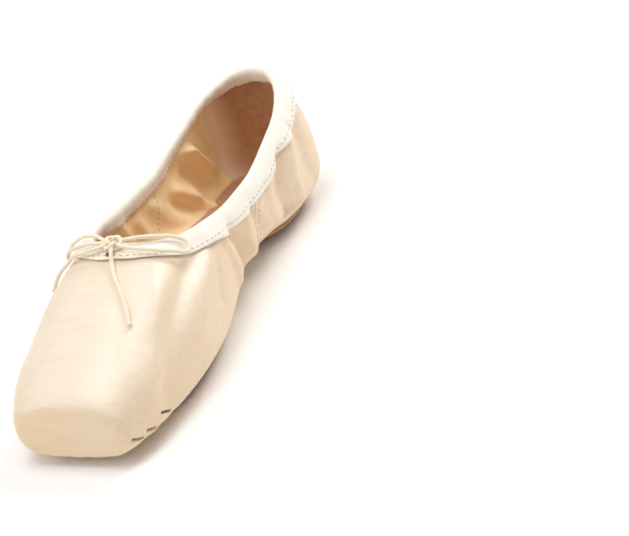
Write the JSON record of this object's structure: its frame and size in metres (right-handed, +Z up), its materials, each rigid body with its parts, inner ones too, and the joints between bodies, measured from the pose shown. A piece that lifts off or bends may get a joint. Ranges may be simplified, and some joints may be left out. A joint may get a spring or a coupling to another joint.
{
  "type": "pointe shoe",
  "caption": "Satin pointe shoe with a flat platform, a drawstring collar tied in a bow and a split leather sole.",
  "frame": {"origin": "middle of the shoe's length and width, on the plane that its two soles stand on", "axes": "+Z up, the toe towards -Y and the heel towards +Y, +X to the right of a foot in the shoe"},
  "size_m": [0.079, 0.2326, 0.0659],
  "materials": {
    "satin": "satin weave with a soft sheen",
    "casing_tape": "matt cotton tape",
    "insole_suede": "brushed suede",
    "sole_leather": "matt, embossed with wavy grooves",
    "elastic_cord": "braided, matt"
  },
  "bodies": {
    "root": {"upper": "satin", "drawstring_casing": "casing_tape", "insole": "insole_suede", "outsole_forefoot": "sole_leather", "outsole_heel": "sole_leather", "bow_knot": "elastic_cord", "bow_loop_left": "elastic_cord", "bow_loop_right": "elastic_cord", "bow_end_left": "elastic_cord", "bow_end_right": "elastic_cord"}
  },
  "joints": []
}
